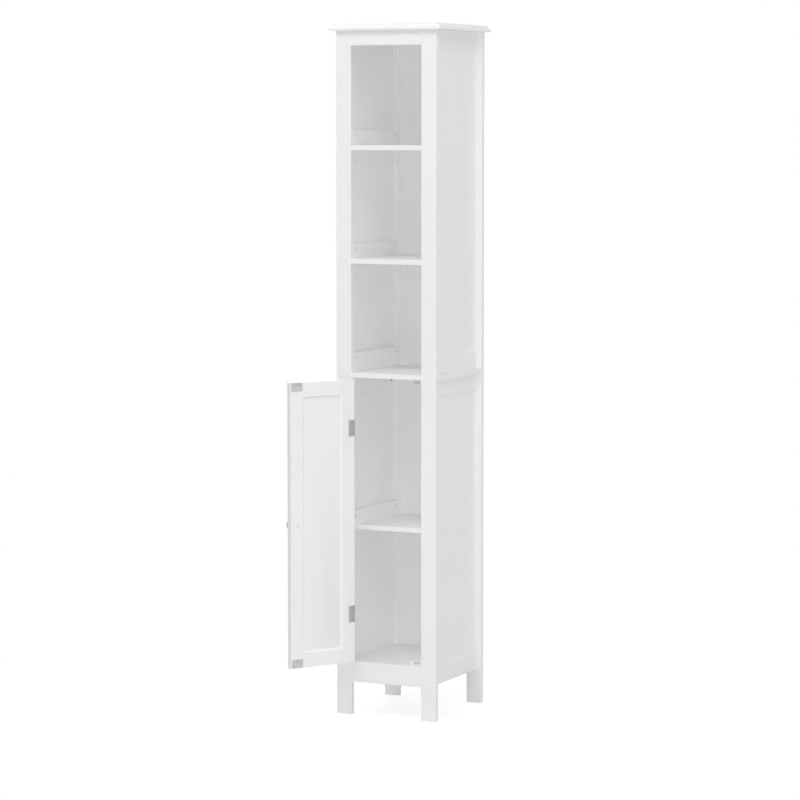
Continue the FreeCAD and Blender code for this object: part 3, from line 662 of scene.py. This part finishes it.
def make_hinge_pins():
    """A pin with low domed ends for each hinge."""
    pins = []
    for which in HINGES:
        low, high = extent(which + "_hinge_frame_leaf")
        reach = (high.z - low.z) / 2
        tip = []
        for turn in quarter(PIN_TIP_STEPS):
            tip.append((PIN_R * math.sin(turn), reach - PIN_TIP * (1 - math.cos(turn))))
        pin = turned(tip + [(radius, -height) for radius, height in reversed(tip)], PIN_STEPS)
        bmesh.ops.translate(pin, verts=pin.verts, vec=HINGE_PIN + Vector((0, 0, low.z + reach)))
        pins.append(pin)
    keep_mm(joined(pins), "hinge_pins", crease=50)


# ---- Strike plates and catches -------------------------------------------------------

def make_strike_plate(end):
    """A pressed steel plate: flat round its screw, with shallow ribs across the rest."""
    low, high = extent("strike_plate_" + end)
    shape = slab(low, high)
    round_edges(shape, 1, STRIKE_CORNER)
    for i in range(1, STRIKE_STEPS):
        scored(shape, (0, 0, low.z + (high.z - low.z) * i / STRIKE_STEPS), (0, 0, 1))
    for corner in shape.verts:
        ribs_down = (high.z - corner.co.z - RIBS_FROM) / RIB_PITCH
        if corner.co.y > (low.y + high.y) / 2 and 0 < ribs_down < RIB_COUNT:
            corner.co.y -= RIB_DEPTH * (0.5 - 0.5 * math.cos(math.tau * ribs_down))
    keep_mm(shape, "strike_plate_" + end, STAMPED_RADIUS)


def make_catch(end):
    """A moulded catch housing with an open front for the magnet."""
    node = end + "_catch_housing"
    low, high = extent(node)
    centre = middle(node)
    half_w = MAGNET_W / 2 + MOUTH_CLEARANCE
    half_h = MAGNET_H / 2 + MOUTH_CLEARANCE
    shape = slab(low, high)
    round_edges(shape, 2, CATCH_CORNER)
    for side in SIDES:
        scored(shape, (centre.x + side * half_w, 0, 0), (1, 0, 0))
        scored(shape, (0, 0, centre.z + side * half_h), (0, 0, 1))
    mouth = []
    for face in shape.faces:
        away = face.calc_center_median() - centre
        if face.normal.y < -0.9 and abs(away.x) < half_w and abs(away.z) < half_h:
            mouth.append(face)
    sunk, _ = drawn_out(shape, mouth)
    bmesh.ops.translate(shape, verts=sunk, vec=(0, MAGNET_D, 0))
    bmesh.ops.recalc_face_normals(shape, faces=shape.faces)
    keep_mm(shape, node, PLASTIC_RADIUS)


def make_magnets():
    """In each catch a magnet between two steel pole plates that reach the mouth."""
    half = MAGNET_H / 2
    inner = half - POLE_T
    layers = ((-half, -inner, 0.0), (-inner + POLE_GAP, inner - POLE_GAP, MAGNET_SETBACK),
              (inner, half, 0.0))
    parts = []
    for end in ENDS:
        front = extent(end + "_catch_housing")[0].y
        centre = middle(end + "_catch_housing")
        for z0, z1, setback in layers:
            parts.append(slab((centre.x - MAGNET_W / 2, front + setback, centre.z + z0),
                              (centre.x + MAGNET_W / 2, front + MAGNET_D, centre.z + z1)))
    keep_mm(joined(parts), "catch_magnets", MAGNET_RADIUS)


for node, slot in slot_of.items():
    if slot == "white_paint" and node != "top_board":
        paint_board(node)
make_top_board()
make_knob()
make_hinge_screws()
make_strike_and_catch_screws()
make_cleat_screws()
make_knob_screw()
make_cam_nuts()
for which in HINGES:
    make_frame_leaf(which)
    make_door_leaf(which)
make_hinge_pins()
for end in ENDS:
    make_strike_plate(end)
    make_catch(end)
make_magnets()


# ---- Studio: floor, background, lamps and camera, in metres and degrees --------------

FLOOR_HALF = 30.0
FLOOR_DROP = 0.0005             # how far it lies below the feet
FLOOR_PALE = (0.80, 0.80, 0.80, 1)      # for the light that it throws back on the cabinet
SHADOW_CATCH = (0.30, 0.30, 0.30, 1)    # as it is seen near the cabinet, lifted by the glow
FLOOR_GLOW = 0.80
SHADOW_REACH = (0.35, 1.3)      # the floor runs out into plain white between these distances
AMBIENT = 0.18
LAMP_TARGET = Vector((0, 0, 0.9))

CAMERA_PLACE = (3.20326, -6.73297, 1.45017)
CAMERA_TURN = 25.6511
CAMERA_TILT = 85.2749           # 90 is level
CAMERA_LENS = 135.47
CAMERA_SHIFT = -0.03


def seen_directly(tree):
    """1 where the camera, a reflection or a clear piece sees the surface, 0 for the light it gives."""
    path = add(tree, "ShaderNodeLightPath").outputs
    through = maths(tree, "MAXIMUM", path["Is Glossy Ray"], path["Is Transmission Ray"])
    return maths(tree, "MAXIMUM", path["Is Camera Ray"], through)


def make_floor():
    """A white floor that keeps the cabinet's shadow and runs out into the white background."""
    mesh = bpy.data.meshes.new("floor")
    shape = bmesh.new()
    bmesh.ops.create_grid(shape, x_segments=1, y_segments=1, size=FLOOR_HALF)
    bmesh.ops.translate(shape, verts=shape.verts, vec=(0, 0, -FLOOR_DROP))
    shape.to_mesh(mesh)
    shape.free()
    floor = bpy.data.objects.new("floor", mesh)
    bpy.context.scene.collection.objects.link(floor)
    material = bpy.data.materials.new("studio floor")
    tree = blank_tree(material)
    pale = add(tree, "ShaderNodeBsdfDiffuse", Color=FLOOR_PALE).outputs["BSDF"]
    catch = add(tree, "ShaderNodeBsdfDiffuse", Color=SHADOW_CATCH).outputs["BSDF"]
    glow = add(tree, "ShaderNodeEmission", Color=WHITE, Strength=FLOOR_GLOW).outputs["Emission"]
    white = add(tree, "ShaderNodeEmission", Color=WHITE, Strength=1.0).outputs["Emission"]
    near = tree.nodes.new("ShaderNodeAddShader")
    feed(tree, catch, near.inputs[0])
    feed(tree, glow, near.inputs[1])
    place = add(tree, "ShaderNodeTexCoord").outputs["Object"]
    distance = add(tree, "ShaderNodeVectorMath", operation="LENGTH", Vector=place).outputs["Value"]
    shown = mixed(tree, ranged(tree, distance, *SHADOW_REACH, 0.0, 1.0), near.outputs["Shader"], white)
    add(tree, "ShaderNodeOutputMaterial", Surface=mixed(tree, seen_directly(tree), pale, shown))
    mesh.materials.append(material)


def make_background():
    """White where it is seen, and a little even light on the cabinet."""
    world = bpy.data.worlds.new("studio")
    bpy.context.scene.world = world
    tree = blank_tree(world)
    strength = ranged(tree, seen_directly(tree), 0.0, 1.0, AMBIENT, 1.0)
    sky = add(tree, "ShaderNodeBackground", Color=WHITE, Strength=strength)
    add(tree, "ShaderNodeOutputWorld", Surface=sky.outputs["Background"])


def make_lamp(name, azimuth, elevation, distance, size, power, shadows=True):
    """A square soft lamp aimed at the cabinet; azimuth 0 is straight ahead, 90 is its right side."""
    turn, tilt = math.radians(azimuth), math.radians(elevation)
    away = Vector((math.sin(turn) * math.cos(tilt), -math.cos(turn) * math.cos(tilt), math.sin(tilt)))
    lamp = bpy.data.lights.new(name, "AREA")
    lamp.shape = "SQUARE"
    lamp.size = size
    lamp.energy = power
    lamp.use_shadow = shadows
    thing = bpy.data.objects.new(name, lamp)
    thing.location = LAMP_TARGET + away * distance
    thing.rotation_euler = (-away).to_track_quat("-Z", "Y").to_euler()
    thing.visible_glossy = shadows    # a lamp without shadows isn't reflected either
    bpy.context.scene.collection.objects.link(thing)


def make_camera():
    """The photograph's viewpoint, tilted down a little so that it needs hardly any shift."""
    camera = bpy.data.cameras.new("camera")
    camera.sensor_width = 36.0
    camera.lens = CAMERA_LENS
    camera.shift_y = CAMERA_SHIFT
    camera.clip_end = 2 * FLOOR_HALF
    thing = bpy.data.objects.new("camera", camera)
    thing.location = CAMERA_PLACE
    thing.rotation_euler = (math.radians(CAMERA_TILT), 0, math.radians(CAMERA_TURN))
    bpy.context.scene.collection.objects.link(thing)
    bpy.context.scene.camera = thing


make_floor()
make_background()
make_lamp("left softbox", azimuth=-30, elevation=50, distance=7.0, size=3.4, power=130)
make_lamp("front softbox", azimuth=20, elevation=50, distance=7.0, size=3.4, power=118)
make_lamp("side softbox", azimuth=90, elevation=50, distance=6.0, size=3.0, power=74)
make_lamp("rear softbox", azimuth=215, elevation=30, distance=7.0, size=3.4, power=190)
make_lamp("fill", azimuth=42, elevation=5, distance=7.5, size=3.5, power=162, shadows=False)
make_camera()
bpy.context.scene.view_settings.view_transform = "Standard"
